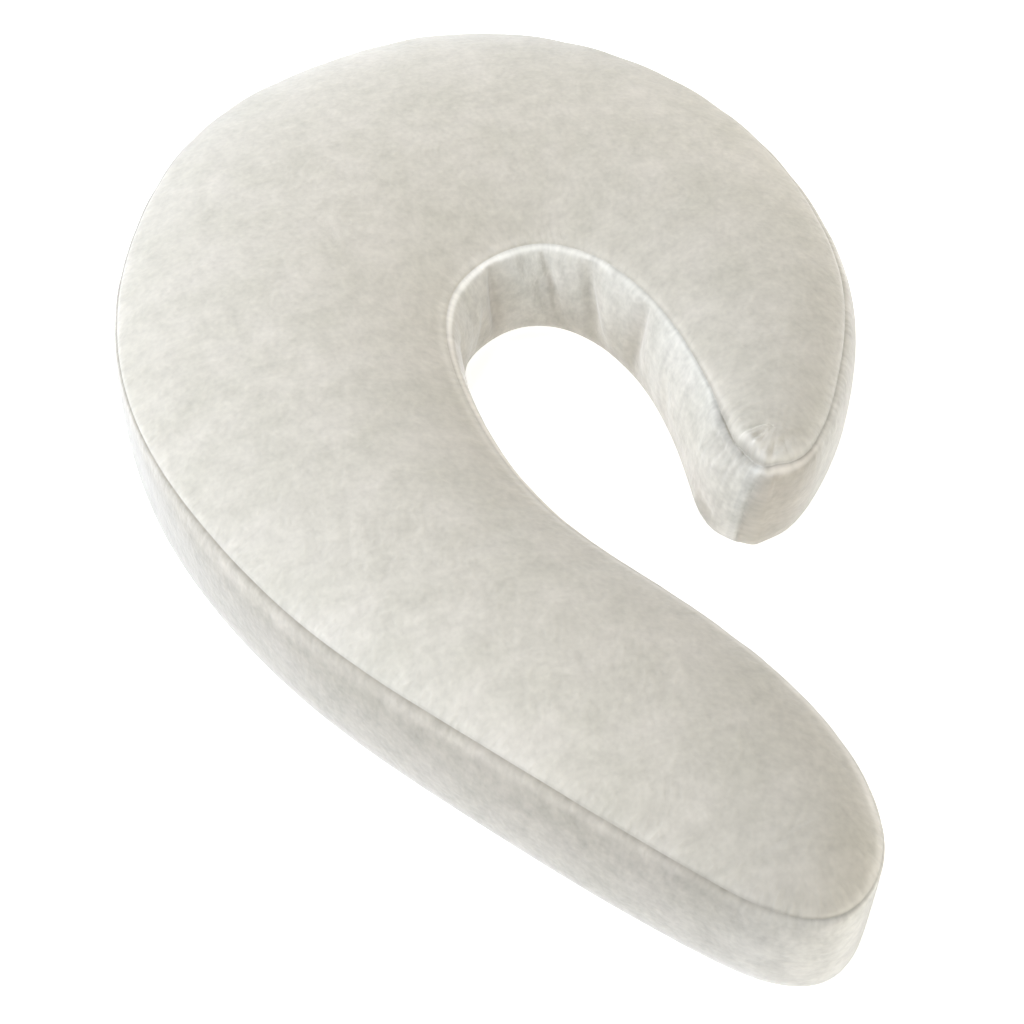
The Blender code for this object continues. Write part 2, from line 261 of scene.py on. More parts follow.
def strip_fullness(share):
    """How far the boxing stands out, 1 at its middle: fullest low down, where it is pressed."""
    fullness = np.where(share < 0.5, UPPER_FULLNESS, LOWER_FULLNESS)
    return (1 - abs(2 * share - 1) ** fullness) ** STRIP_ROUND


def climb(distance, height=SEAM_CLIMB, turn=SEAM_TURN):
    """How far the cloth has climbed out of a seam at a distance from it."""
    return height * (1 - np.exp(-distance / turn))


def slid(values, shift):
    """Values round the seam, each taken a little further along it."""
    places = (run[:-1] + shift) % run[-1]
    rings = np.append(values, values[:1], axis=0)
    if rings.ndim == 1:
        return np.interp(places, run, rings)
    return np.stack([np.interp(places, run, column) for column in rings.T], axis=1)


def uneven(places, waves):
    """A line that wanders between about -1 and 1, made of waves of these lengths."""
    return sum(
        np.sin(2 * math.pi * places / wave + WAVE_SHIFT * number)
        for number, wave in enumerate(waves)
    ) / len(waves)


def gathered(around, share):
    """How far the gathers and creases move the boxing out, at a share of the way down it."""
    rise = np.zeros_like(around)
    for gather in GATHERS:
        off = around - (gather.top + (gather.foot - gather.top) * share)
        spread = np.where(off < 0, gather.near, gather.far)
        rise += gather.rise * np.exp(-(off / spread) ** 2)
    rise *= math.sin(math.pi * share) ** 0.5 * min(1.0, (1 - share) / GATHER_FADE)
    for crease in CREASES:
        off = around - crease.along
        drop = (share - crease.down) * STRIP_HEIGHT
        ahead = off * math.cos(crease.heading) + drop * math.sin(crease.heading)
        aside = drop * math.cos(crease.heading) - off * math.sin(crease.heading)
        rise += crease.rise * np.exp(-(ahead / crease.length) ** 2 - (aside / crease.width) ** 2)
    return rise


def rumpled(plan):
    """How far the corner's rumples lift the top panel."""
    rise = np.zeros(len(plan))
    for rumple in RUMPLES:
        x, y = (plan - (rumple.x, rumple.y)).T
        along = x * math.cos(rumple.heading) + y * math.sin(rumple.heading)
        across = y * math.cos(rumple.heading) - x * math.sin(rumple.heading)
        rise += rumple.rise * np.exp(-(along / rumple.length) ** 2 - (across / rumple.width) ** 2)
    return rise


outer_line = [(row.outer_x, row.outer_y) for row in SECTIONS]
inner_line = [(row.inner_x, row.inner_y) for row in SECTIONS]
outline = smooth_line(outer_line[::-1] + inner_line[1:], STEPS)
tangents = np.roll(outline, -1, axis=0) - np.roll(outline, 1, axis=0)
out = np.stack([tangents[:, 1], -tangents[:, 0]], axis=1)
out /= np.linalg.norm(out, axis=1)[:, None]
edges = np.linalg.norm(np.roll(outline, -1, axis=0) - outline, axis=1)
run = np.concatenate([[0.0], np.cumsum(edges)])
from_corner = np.minimum(run[:-1], run[-1] - run[:-1])
around = np.where(np.arange(COLUMNS) <= COLUMNS // 2, -run[:-1], run[-1] - run[:-1])
roll = Roll(*(np.interp(around, [row.at for row in ROLLS], column) for column in zip(*ROLLS)))
steps_away = np.minimum(np.arange(COLUMNS), COLUMNS - np.arange(COLUMNS))
ribs = np.clip(steps_away, TIP_FAN * STEPS, COLUMNS // 2 - LEG_FAN * STEPS)
spine = (outline[ribs] + outline[(COLUMNS - ribs) % COLUMNS]) / 2
reach = np.linalg.norm(spine - outline, axis=1)
inward = (spine - outline) / reach[:, None]
crown = spread_round_seam("crown", "crown")[ribs]
full = spread_round_seam("outer_full", "inner_full")
foot = blended(spread_round_seam("outer_foot", "inner_foot"), FOOT_BLEND)
lean = -CLOSING_LEAN * np.exp(-(around / CLOSING_REACH) ** 2)
foot_outline = slid(outline + out * foot[:, None], lean)
sole_inward = (spine - foot_outline) / np.linalg.norm(spine - foot_outline, axis=1)[:, None]
raggedness = np.exp(-((around - RAGGED_PLACE) / RAGGED_REACH) ** 2)
ragged = 1 + RAGGED_ROLL * raggedness * uneven(run[:-1], RAGGED_ROLL_WAVES)
panel_climb = roll.panel_climb * ragged
boxing_climb = roll.boxing_climb * (2 - ragged)
ragged_dark = RAGGED_DARK * raggedness * uneven(run[:-1], RAGGED_DARK_WAVES)
dark_width = roll.dark_width * (1 + ragged_dark)
wander = roll.lift + WANDER * uneven(run[:-1], WANDER_WAVES) + RAGGED_LIFT * (ragged - 1)
pointed = CORNER_POINT * np.exp(-abs(around) / CORNER_REACH)


def across_from_seam():
    """Distances in from the seam, row by row, one for each column."""
    first = LIP_ROWS[-1]
    shares = np.linspace(0.0, 1.0, FIELD_ROWS + 1)[1:]
    return [np.full(COLUMNS, row) for row in LIP_ROWS] + [
        first + (reach * MIDDLE_BAND - first) * share for share in shares
    ]


def beside_seam(distance):
    """Height that the seam's lift, wandering and sinking give the cloth at a distance from it."""
    return wander * np.exp(-distance / LIFT_REACH) - roll.sink * np.exp(-distance / SINK_REACH)


def top_height(distance, share, plan):
    """Height of the top panel at a distance and a share of the way in from its seam."""
    lip = climb(distance, panel_climb, roll.panel_turn) + beside_seam(distance)
    return TOP_SEAM + lip + (crown - panel_climb) * panel_rise(share) + rumpled(plan)


# The cloth is built ring by ring, from the middle band of the top to the sole.  Each point knows
# what the pile needs: how far along the cloth it is from the nearest seam, and from the top or the
# bottom one; its painted shade in a seam's crease and its painted highlight on a rolled edge, each
# with its width; and the painted light and shade that lighten or darken it on boxing and panels.
FIELDS = ("seam_gap", "dark", "dark_width", "lip_gap", "pale", "pale_width", "nap", "panel_nap")
MIDDLE_FIELDS = (0.1, 0.0, 1.0, 0.1, 0.0, 1.0, 1.0, 1.0)    # their values inside the rings

cloth = bmesh.new()
lay = cloth.loops.layers.uv.new("lay")
by_seam = cloth.loops.layers.uv.new("by_seam")
fields = [cloth.verts.layers.float.new(name) for name in FIELDS]
seam_gap = fields[0]
rows = []                   # the rings' points
rings = []                  # ... and their vertices


def tell(vertex, values):
    """Gives a vertex its values of the fields."""
    for field, value in zip(fields, values):
        vertex[field] = value


def lay_ring(plan, height, gap, lip_gap, pale, nap, panel_nap):
    """The next ring of the cloth; a value is one for the whole ring, or one for each column."""
    told = (gap, roll.dark, dark_width, lip_gap, pale, roll.pale_width, nap, panel_nap)
    height, *told = (value + np.zeros(COLUMNS) for value in (height,) + told)
    rows.append(np.column_stack([plan, height]))
    rings.append([cloth.verts.new(point) for point in rows[-1]])
    for vertex, values in zip(rings[-1], zip(*told)):
        tell(vertex, values)


for distance in across_from_seam()[::-1]:
    plan = outline + inward * distance[:, None]
    share = distance / reach
    gap = distance + climb(distance, panel_climb, roll.panel_turn)
    # painted light and shade beside the seam, fading inwards, and painted light on the corner's rumples
    painted_light_here = 1 + (1 - share) ** PAINTED_LIGHT_FADE * (roll.panel_nap - 1) + PAINTED_FOLD_LIGHT * rumpled(plan)
    height = top_height(distance, share, plan)
    lay_ring(plan, height, gap, gap, roll.panel_pale, roll.nap, painted_light_here)
top_seam_row = len(rows)
# the seam's ring takes the stronger painted highlight of its two rolled edges
seam_highlight = np.maximum(roll.panel_pale, roll.boxing_pale)
lay_ring(outline, TOP_SEAM + beside_seam(0.0), 0.0, 0.0, seam_highlight, roll.nap, roll.panel_nap)
lips = np.array(LIP_ROWS)
between = np.linspace(LIP_ROWS[-1], STRIP_HEIGHT - LIP_ROWS[-1], STRIP_ROWS + 2)[1:-1]
drops = np.concatenate([lips, between, STRIP_HEIGHT - lips[::-1]])
for drop in drops:
    share = drop / STRIP_HEIGHT
    high = climb(drop, boxing_climb, roll.boxing_turn)
    low = climb(STRIP_HEIGHT - drop)
    fullness, spread = slid(full, lean * share), slid(foot, lean * share)
    bulge = high * (1 - share) + low * share + fullness * strip_fullness(share) + spread * share
    folds = gathered(around, share)
    bulge += folds + pointed
    bulge[0] -= CLOSING_SEAM * (1 - share ** CLOSING_FADE)
    base, way = slid(outline, lean * share), slid(out, lean * share)
    height = TOP_SEAM + beside_seam(drop) * (1 - share) - drop
    from_seam = drop + high if share < 0.5 else STRIP_HEIGHT - drop + low
    gap = np.minimum(from_seam, from_corner + CLOSING_GAP)
    pale = roll.boxing_pale * (drop <= LIP_ROWS[-1])
    # painted light and shade down the boxing, lighter on the gathers' ridges and darker in their valleys
    painted_light_here = roll.nap + (roll.foot_nap - roll.nap) * share + PAINTED_FOLD_LIGHT * folds
    lay_ring(base + way * bulge[:, None], height, gap, from_seam, pale, painted_light_here, roll.panel_nap)
bottom_seam_row = len(rows)
lay_ring(foot_outline, BOTTOM_SEAM, 0.0, 0.0, 0.0, roll.foot_nap, 1.0)
for distance in SOLE_LIP_ROWS:
    fade = (1 - distance / SOLE_MARGIN) ** 2
    height = (BOTTOM_SEAM - SEAM_CLIMB) * fade + SEAM_CLIMB - climb(distance)
    gap = distance + climb(distance)
    lay_ring(foot_outline + sole_inward * distance, height, gap, gap, 0.0, roll.foot_nap, 1.0)


def sew_face(corners, places, slot, runs=None):
    """A face with its corners' places in the two maps: on the cloth, and along the seam."""
    face = cloth.faces.new(corners)
    face.material_index = slot
    face.smooth = True
    for number, (loop, place) in enumerate(zip(face.loops, places)):
        loop[lay].uv = place
        loop[by_seam].uv = (runs[number] if runs else 0.0, loop.vert[seam_gap])


def plan_of(vertex):
    """A vertex's place seen from above."""
    return vertex.co.x, vertex.co.y


PANEL_SLOT, BOXING_SLOT = 0, 1
fall = [0.0] + list(drops) + [STRIP_HEIGHT]
for number, (upper, lower) in enumerate(zip(rings, rings[1:])):
    strip = top_seam_row <= number < bottom_seam_row
    for i in range(COLUMNS):
        j = (i + 1) % COLUMNS
        corners = [upper[i], lower[i], lower[j], upper[j]]
        if strip:
            high, low = fall[number - top_seam_row], fall[number - top_seam_row + 1]
            places = [(run[i], -high), (run[i], -low), (run[i + 1], -low), (run[i + 1], -high)]
        else:
            places = [plan_of(corner) for corner in corners]
        runs = [run[i], run[i], run[i + 1], run[i + 1]]
        sew_face(corners, places, BOXING_SLOT if strip else PANEL_SLOT, runs)


def close_middle(ring, count, height_of, upward):
    """Closes a ring with straight rows of cloth across it, from one side to the other."""
    half = COLUMNS // 2
    lines = [[ring[0]] * (count + 1)]
    for i in range(1, half):
        one, other = ring[i], ring[-i]
        line = [one]
        for step in range(1, count):
            point = one.co.lerp(other.co, step / count)
            point.z += height_of(i, point)
            line.append(cloth.verts.new(point))
            tell(line[-1], MIDDLE_FIELDS)
        lines.append(line + [other])
    lines.append([ring[half]] * (count + 1))
    for near, far in zip(lines, lines[1:]):
        for k in range(count):
            corners = [near[k], near[k + 1], far[k + 1], far[k]]
            if not upward:
                corners.reverse()
            corners = [c for n, c in enumerate(corners) if c is not corners[n - 1]]
            if len(corners) > 2:
                sew_face(corners, [plan_of(corner) for corner in corners], PANEL_SLOT)


band_top = crown - panel_climb
band_edge = panel_rise(MIDDLE_BAND)


def band_height(i, point):
    """How far the middle band rises above the straight line between its two edges."""
    share = max(MIDDLE_BAND, 1 - math.dist(point.xy, spine[i]) / reach[i])
    return band_top[i] * (panel_rise(share) - band_edge)


close_middle(rings[0], BAND_ROWS, band_height, True)
close_middle(rings[-1], SOLE_ROWS, lambda i, point: 0.0, False)
bmesh.ops.recalc_face_normals(cloth, faces=cloth.faces)

TOUCHING = 1e-6             # cloth this low lies on the floor
points = np.concatenate(rows)
middle = (points.min(axis=0) + points.max(axis=0)) / 2
bmesh.ops.translate(cloth, verts=cloth.verts, vec=(-middle[0], -middle[1], 0.0))
data = bpy.data.meshes.new("pillow_cover")
cloth.verts.index_update()
seam_numbers = [v.index for v in rings[top_seam_row] + rings[bottom_seam_row]]
sole_numbers = [v.index for v in cloth.verts if v.co.z < TOUCHING]
cloth.to_mesh(data)
cloth.free()
cover = bpy.data.objects.new("pillow_cover", data)
bpy.context.scene.collection.objects.link(cover)

# The filling presses the cloth out between the held seams, and the slack puckers beside them.
PRESSURE = 4.0
SLACK = 0.005               # the cloth is larger than its shape by this share
FRAMES = 20                 # of the simulation, and its steps in each frame
QUALITY = 5
SWELLING_BLEND = 60         # what is left after averaging so many times is swelling, not puckers
PUCKER_LIMIT = 0.004        # no pucker moves the cloth further than this
PUCKER_RISE = 0.06          # the puckers grow to their full size over this height ...
FOOT_PUCKER = 0.1           # ... from this share at the bottom seam
OUTER_PUCKER = 0.30         # share of them that is kept away from the hook's inside
HOOK_LENGTH = 0.8           # the hook's inside ends this far from the corner ...
HOOK_FADE = 0.2             # ... and fades away over this length

hook_inside = np.clip((HOOK_LENGTH - around) / HOOK_FADE, 0.0, 1.0) * (around > 0)
pucker_share = OUTER_PUCKER + (1 - OUTER_PUCKER) * hook_inside


def points_of(mesh):
    """The places of a mesh's vertices."""
    found = np.zeros(len(mesh.vertices) * 3)
    mesh.vertices.foreach_get("co", found)
    return found.reshape(-1, 3)


def evened(values, mesh, times):
    """The values, averaged over their neighbours a number of times."""
    ends = np.zeros(len(mesh.edges) * 2, int)
    mesh.edges.foreach_get("vertices", ends)
    one, other = ends.reshape(-1, 2).T
    degree = np.bincount(ends, minlength=len(values))[:, None]
    for _ in range(times):
        total = np.zeros_like(values)
        np.add.at(total, one, values[other])
        np.add.at(total, other, values[one])
        values = (values + total / degree) / 2
    return values


def press_out(piece):
    """Cloth simulation under the filling's pressure; keeps its puckers, not its swelling."""
    rest = points_of(piece.data)
    pins = piece.vertex_groups.new(name="held")
    pins.add(seam_numbers + sole_numbers, 1.0, "REPLACE")
    sim = piece.modifiers.new("filling", "CLOTH")
    sim.settings.vertex_group_mass = "held"
    sim.settings.use_pressure = True
    sim.settings.uniform_pressure_force = PRESSURE
    sim.settings.shrink_min = -SLACK
    sim.settings.effector_weights.gravity = 0.0
    sim.settings.quality = QUALITY
    sim.collision_settings.use_collision = False
    sim.collision_settings.use_self_collision = False
    sim.point_cache.frame_start = 1
    sim.point_cache.frame_end = FRAMES
    for number in range(1, FRAMES + 1):
        bpy.context.scene.frame_set(number)
    shown = piece.evaluated_get(bpy.context.evaluated_depsgraph_get())
    moved = points_of(shown.data) - rest
    piece.modifiers.remove(sim)
    piece.vertex_groups.remove(pins)
    bpy.context.scene.frame_set(1)
    pucker = moved - evened(moved, piece.data, SWELLING_BLEND)
    size = np.linalg.norm(pucker, axis=1)[:, None]
    pucker *= np.minimum(1.0, PUCKER_LIMIT / np.maximum(size, 1e-9))
    pucker *= np.clip((rest[:, 2:] - BOTTOM_SEAM) / PUCKER_RISE, FOOT_PUCKER, 1.0)
    share = np.full(len(rest), OUTER_PUCKER)
    share[:len(rows) * COLUMNS] = np.tile(pucker_share, len(rows))
    pucker *= share[:, None]
    loose = np.ones(len(rest))
    loose[seam_numbers + sole_numbers] = 0.0
    piece.data.vertices.foreach_set("co", (rest + pucker * loose[:, None]).ravel())
    piece.data.update()


press_out(cover)

smooth = cover.modifiers.new("smooth", "SUBSURF")
smooth.levels = 1
smooth.render_levels = 1
bpy.context.view_layer.objects.active = cover
with bpy.context.temp_override(object=cover, active_object=cover):
    bpy.ops.object.modifier_apply(modifier="smooth")


def node(tree, kind, **settings):
    """A shader node; a setting that names an input goes to its socket, or links to it."""
    made = tree.nodes.new("ShaderNode" + kind)
    for name, value in settings.items():
        socket = made.inputs.get(name.replace("_", " "))
        if socket is None:
            setattr(made, name, value)
        elif isinstance(value, bpy.types.NodeSocket):
            tree.links.new(value, socket)
        else:
            socket.default_value = value
    return made


# The pile's own measures, in metres.  Shades are shares of the cloth's colour.
BENDS = 18.0                # the strokes bend this many times in a metre ...
BEND_SWING = 0.018          # ... by up to half of this to either side
WAYS = (-0.9, 0.0, 0.9)     # turns of the strokes, in radians, from patch to patch
WAY_PATCHES = 15.0          # such patches to a metre, and where one way gives place to the next
WAY_BLENDS = ((0.40, 0.50), (0.50, 0.60))
PATCH_SIZE = 0.07
GRAIN_SIZE = 0.0016
GRAIN_SHADE = 0.02
PAINTED_SEAM_SHADE_WIDTH = 0.0026       # about half the width of the painted shade in a seam's crease
HIGHLIGHT_PLACE = 0.0045        # the painted highlight on a rolled edge is brightest this far from the seam ...
HIGHLIGHT_WIDTH = 0.0035        # ... and falls off over this
TUCK_SIZE = (0.010, 0.045, 1.0)     # small tucks beside a seam: along it and away from it
TUCK_REACH = 0.022          # ... and they fade away over this
# the tucks' light and dark, painted into the colour besides their bump
TUCK_SHADE = 0.25
LILAC_GREEN = -0.5          # green changes by this share of what a patch is tinged with blue
RAISED_GREEN = 0.12         # green and blue rise by these shares of what the painted light lightens
RAISED_BLUE = 0.28
DULLNESS = 0.88             # roughness of the pile, and how much the strokes change it
STROKE_GLOSS = 0.25
GRAIN_RISE = 0.25           # heights, as shares of the fuzz's
STROKE_RISE = 0.5
MOTTLE_RISE = 0.8
TUCK_RISE = 3.0


def pile_with_painted_light():
    """The pile as hands have brushed it: a fine fuzz and short faint strokes that change their
    way from patch to patch, over soft mottling; painted shade in the seams, tucks beside them with
    painted light and dark, a painted highlight on rolled edges, and painted light and shade all over."""
    tree = bpy.data.node_groups.new("pile_with_painted_light", "ShaderNodeTree")
    face = tree.interface
    for name, kind, value in (
        ("Lay", "NodeSocketVector", (0.0, 0.0, 0.0)),
        ("By Seam", "NodeSocketVector", (0.0, 0.0, 0.0)),
        ("Tint", "NodeSocketColor", (0.6, 0.57, 0.5, 1.0)),
        ("Stroke Length", "NodeSocketFloat", 0.021),
        ("Stroke Width", "NodeSocketFloat", 0.0062),
        ("Stroke Way", "NodeSocketFloat", 0.0),
        ("Way Change", "NodeSocketFloat", 1.0),
        ("Stroke Shade", "NodeSocketFloat", 0.15),
        ("Fuzz Size", "NodeSocketFloat", 0.0072),
        ("Fuzz Shade", "NodeSocketFloat", 0.22),
        ("Mottle Size", "NodeSocketFloat", 0.022),
        ("Mottle Shade", "NodeSocketFloat", 0.27),
        ("Patch Shade", "NodeSocketFloat", 0.27),
        ("Seam Gap", "NodeSocketFloat", 0.1),
        ("Dark", "NodeSocketFloat", 1.0),
        ("Dark Width", "NodeSocketFloat", 1.0),
        ("Seam Shade", "NodeSocketFloat", 0.27),
        ("Gathering", "NodeSocketFloat", 1.0),
        ("Lip Gap", "NodeSocketFloat", 0.1),
        ("Pale", "NodeSocketFloat", 0.0),
        ("Pale Width", "NodeSocketFloat", 1.0),
        ("Pale Shade", "NodeSocketFloat", 0.30),
        ("Pale Tint", "NodeSocketColor", (0.60, 0.574, 0.520, 1.0)),
        ("Tinge", "NodeSocketFloat", 0.04),
        ("Nap", "NodeSocketFloat", 1.0),
    ):
        face.new_socket(name, in_out="INPUT", socket_type=kind).default_value = value
    face.new_socket("Color", in_out="OUTPUT", socket_type="NodeSocketColor")
    face.new_socket("Roughness", in_out="OUTPUT", socket_type="NodeSocketFloat")
    face.new_socket("Height", in_out="OUTPUT", socket_type="NodeSocketFloat")
    inside = tree.nodes.new("NodeGroupInput").outputs
    result = tree.nodes.new("NodeGroupOutput").inputs

    def value_of(operation, *parts, kind="Math"):
        """What a Math node makes of its parts: numbers, or other nodes' outputs."""
        made = node(tree, kind, operation=operation)
        for socket, part in zip(made.inputs, parts):
            if isinstance(part, bpy.types.NodeSocket):
                tree.links.new(part, socket)
            else:
                socket.default_value = part
        return made.outputs[0]

    def vector_of(operation, *parts):
        """The same for vectors."""
        return value_of(operation, *parts, kind="VectorMath")

    def square(x, y):
        """A size for the noise, from the group's inputs for its two sides."""
        made = node(tree, "CombineXYZ", Z=1.0)
        tree.links.new(inside[x], made.inputs["X"])
        tree.links.new(inside[y], made.inputs["Y"])
        return made.outputs["Vector"]

    def spread_noise(where, size, shift, **settings):
        """Noise about 0, of features of this size; the shifts keep two noises from matching."""
        moved = vector_of("ADD", vector_of("DIVIDE", where, size), (shift, shift, shift))
        noise = node(tree, "TexNoise", Vector=moved, Scale=1.0, **settings)
        return value_of("SUBTRACT", noise.outputs["Fac"], 0.5)

    def bell(value, width):
        """1 where the value is 0, falling off over the width."""
        squared = value_of("POWER", value_of("DIVIDE", value, width), 2.0)
        return value_of("EXPONENT", value_of("MULTIPLY", squared, -1.0))

    # Strokes: three ways of brushing, each of which gives place to the next from patch to patch.
    bend = node(tree, "TexNoise", Vector=inside["Lay"], Scale=BENDS, Detail=1.0)
    swing = vector_of("SUBTRACT", bend.outputs["Color"], (0.5, 0.5, 0.5))
    swing = vector_of("MULTIPLY", swing, (BEND_SWING, BEND_SWING, BEND_SWING))
    curved = vector_of("ADD", inside["Lay"], swing)
    stroke = square("Stroke Length", "Stroke Width")
    ways = []
    for turn in WAYS:
        angle = value_of("MULTIPLY_ADD", inside["Way Change"], turn, inside["Stroke Way"])
        turned = node(tree, "VectorRotate", rotation_type="Z_AXIS", Vector=curved, Angle=angle)
        shift = 17.0 * turn + 5.0
        way = spread_noise(turned.outputs["Vector"], stroke, shift, Detail=2.0, Roughness=0.5)
        ways.append(way)
    choice = node(tree, "TexNoise", Vector=inside["Lay"], Scale=WAY_PATCHES, Detail=1.0)
    strokes = ways[0]
    for way, (low, high) in zip(ways[1:], WAY_BLENDS):
        step = node(
            tree, "MapRange", interpolation_type="SMOOTHSTEP", Value=choice.outputs["Fac"],
            From_Min=low, From_Max=high,
        )
        blend = node(tree, "Mix", data_type="FLOAT", Factor=step.outputs["Result"])
        tree.links.new(strokes, blend.inputs[2])
        tree.links.new(way, blend.inputs[3])
        strokes = blend.outputs[0]

    # Marks without a way: fuzz, mottling, wide patches and a fine grain.
    fuzz_size = square("Fuzz Size", "Fuzz Size")
    mottle_size = square("Mottle Size", "Mottle Size")
    patch_size = (PATCH_SIZE, PATCH_SIZE, PATCH_SIZE)
    grain_size = (GRAIN_SIZE, GRAIN_SIZE, 1.0)
    fuzz = spread_noise(inside["Lay"], fuzz_size, 23.0, Detail=1.0, Roughness=0.5)
    mottle = spread_noise(curved, mottle_size, 31.0, Detail=3.0, Roughness=0.45)
    patches = spread_noise(curved, patch_size, 3.0, Detail=2.0, Roughness=0.5)
    grain = spread_noise(inside["Lay"], grain_size, 11.0, Detail=2.0, Roughness=0.7)

    # The seam: painted shade in its crease, a painted highlight on its rolled edges, and small tucks
    # that fade away from it, their light and dark painted into the colour as well as bumped.
    narrowed = value_of("DIVIDE", inside["Seam Gap"], inside["Dark Width"])
    painted_seam_shade = value_of("MULTIPLY", bell(narrowed, PAINTED_SEAM_SHADE_WIDTH), inside["Dark"])
    # painted highlight on the seam's rolled edges
    narrowed = value_of("DIVIDE", inside["Lip Gap"], inside["Pale Width"])
    painted_highlight = bell(value_of("SUBTRACT", narrowed, HIGHLIGHT_PLACE), HIGHLIGHT_WIDTH)
    painted_highlight = value_of("MULTIPLY", painted_highlight, inside["Pale"])
    tucks = spread_noise(inside["By Seam"], TUCK_SIZE, 7.0, Detail=2.0, Roughness=0.5)
    tucks = value_of("MULTIPLY", tucks, bell(inside["Seam Gap"], TUCK_REACH))
    tucks = value_of("MULTIPLY", tucks, inside["Gathering"])

    shade = 1.0
    for marks, strength in (
        (strokes, inside["Stroke Shade"]),
        (fuzz, inside["Fuzz Shade"]),
        (mottle, inside["Mottle Shade"]),
        (patches, inside["Patch Shade"]),
        (grain, GRAIN_SHADE),
        (tucks, TUCK_SHADE),
        (painted_highlight, inside["Pale Shade"]),
    ):
        shade = value_of("MULTIPLY_ADD", marks, strength, shade)
    # the painted shade in the seam's crease darkens the colour
    darkest = value_of("MULTIPLY", painted_seam_shade, inside["Seam Shade"])
    # the painted light and shade of each place scale the colour
    shade = value_of("MULTIPLY", value_of("SUBTRACT", shade, darkest), inside["Nap"])
    lilac = value_of("MULTIPLY", patches, inside["Tinge"])
    # where the painted light lightens, the colour turns bluer; where it darkens, yellower
    raised = value_of("SUBTRACT", inside["Nap"], 1.0)
    green = value_of("MULTIPLY_ADD", raised, RAISED_GREEN, 1.0)
    green = value_of("MULTIPLY_ADD", lilac, LILAC_GREEN, green)
    blue = value_of("MULTIPLY_ADD", raised, RAISED_BLUE, 1.0)
    blue = value_of("ADD", lilac, blue)
    tinged = node(
        tree, "CombineColor", Red=shade, Green=value_of("MULTIPLY", shade, green),
        Blue=value_of("MULTIPLY", shade, blue),
    )
    # the painted highlight also turns the colour towards the Pale Tint
    base = node(tree, "Mix", data_type="RGBA", clamp_factor=True)
    tree.links.new(painted_highlight, base.inputs[0])
    tree.links.new(inside["Tint"], base.inputs[6])
    tree.links.new(inside["Pale Tint"], base.inputs[7])
    tint = node(tree, "Mix", data_type="RGBA", blend_type="MULTIPLY", Factor=1.0)
    tree.links.new(base.outputs[2], tint.inputs[6])
    tree.links.new(tinged.outputs["Color"], tint.inputs[7])
    tree.links.new(tint.outputs[2], result["Color"])
    rough = value_of("MULTIPLY_ADD", strokes, STROKE_GLOSS, DULLNESS)
    tree.links.new(rough, result["Roughness"])
    height = fuzz
    for marks, rise in (
        (grain, GRAIN_RISE), (strokes, STROKE_RISE), (mottle, MOTTLE_RISE), (tucks, TUCK_RISE),
    ):
        height = value_of("MULTIPLY_ADD", marks, rise, height)
    tree.links.new(height, result["Height"])
    return tree


PILE = pile_with_painted_light()


def velour(name, painted_light_field, **pile_settings):
    """A velour whose painted light and shade comes from one of the two fields for it."""
    material = bpy.data.materials.new(name)
    material.use_nodes = True
    tree = material.node_tree
    shader = tree.nodes["Principled BSDF"]
    pile = node(tree, "Group", node_tree=PILE)
    for name_of_map, socket in (("lay", "Lay"), ("by_seam", "By Seam")):
        tree.links.new(node(tree, "UVMap", uv_map=name_of_map).outputs["UV"], pile.inputs[socket])
    for field in FIELDS[:-2] + (painted_light_field,):
        found = node(tree, "Attribute", attribute_name=field)
        socket = "Nap" if field == painted_light_field else field.replace("_", " ").title()
        tree.links.new(found.outputs["Fac"], pile.inputs[socket])
    for setting, value in pile_settings.items():
        pile.inputs[setting.replace("_", " ")].default_value = value
    relief = node(tree, "Bump", Strength=0.5, Distance=0.0012, Height=pile.outputs["Height"])
    tree.links.new(pile.outputs["Color"], shader.inputs["Base Color"])
    tree.links.new(pile.outputs["Roughness"], shader.inputs["Roughness"])
    tree.links.new(relief.outputs["Normal"], shader.inputs["Normal"])
    shader.inputs["Specular IOR Level"].default_value = 0.2
    shader.inputs["Sheen Weight"].default_value = 0.8
    shader.inputs["Sheen Roughness"].default_value = 0.45
    return material


panel_velour = velour(
    "velour_panel", "panel_nap", Tint=(0.60, 0.569, 0.499, 1.0), Stroke_Way=1.1, Way_Change=1.0,
)
# The boxing's colour is the panel's made about a tenth darker: painted shade on the pillow's sides.
boxing_velour = velour(
    "velour_boxing", "nap", Tint=(0.54, 0.514, 0.457, 1.0), Stroke_Way=math.pi / 2,
    Way_Change=0.3, Stroke_Shade=0.22, Fuzz_Shade=0.28, Mottle_Shade=0.46, Gathering=0.9,
)
cover.data.materials.append(panel_velour)
cover.data.materials.append(boxing_velour)
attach(cover, "root")
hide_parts("pillow")

# ---- The floor -------------------------------------------------------------------------------
# A plain white sheet of paper under the pillow, wide enough to fill the camera's view.  It glows
# a little, as paper does under lamps of its own, so that it stays white in the pillow's shade.

FLOOR_SIDE = 12.0
FLOOR_GAP = 0.0005          # its top is this far under the pillow, so that the two don't mix
FLOOR_GLOW = 0.6

floor_mesh = bmesh.new()
bmesh.ops.create_grid(floor_mesh, x_segments=1, y_segments=1, size=FLOOR_SIDE / 2)
floor_data = bpy.data.meshes.new("floor")
floor_mesh.to_mesh(floor_data)
floor_mesh.free()
floor = bpy.data.objects.new("floor", floor_data)
bpy.context.scene.collection.objects.link(floor)
floor.location.z = -FLOOR_GAP
paper = bpy.data.materials.new("white_paper")
paper.use_nodes = True
paper_shader = paper.node_tree.nodes["Principled BSDF"]
paper_shader.inputs["Base Color"].default_value = (0.95, 0.95, 0.95, 1.0)
paper_shader.inputs["Roughness"].default_value = 1.0
paper_shader.inputs["Emission Color"].default_value = (1.0, 1.0, 1.0, 1.0)
paper_shader.inputs["Emission Strength"].default_value = FLOOR_GLOW
floor_data.materials.append(paper)

# ---- Light and camera ------------------------------------------------------------------------
# Soft daylight from windows to the left, in front and behind and from a skylight, a low fill at
# the right, small lamps that lift the shade at the back, the right and the leg, and the white
# room round them all.  The camera stands above the foot of the pillow.

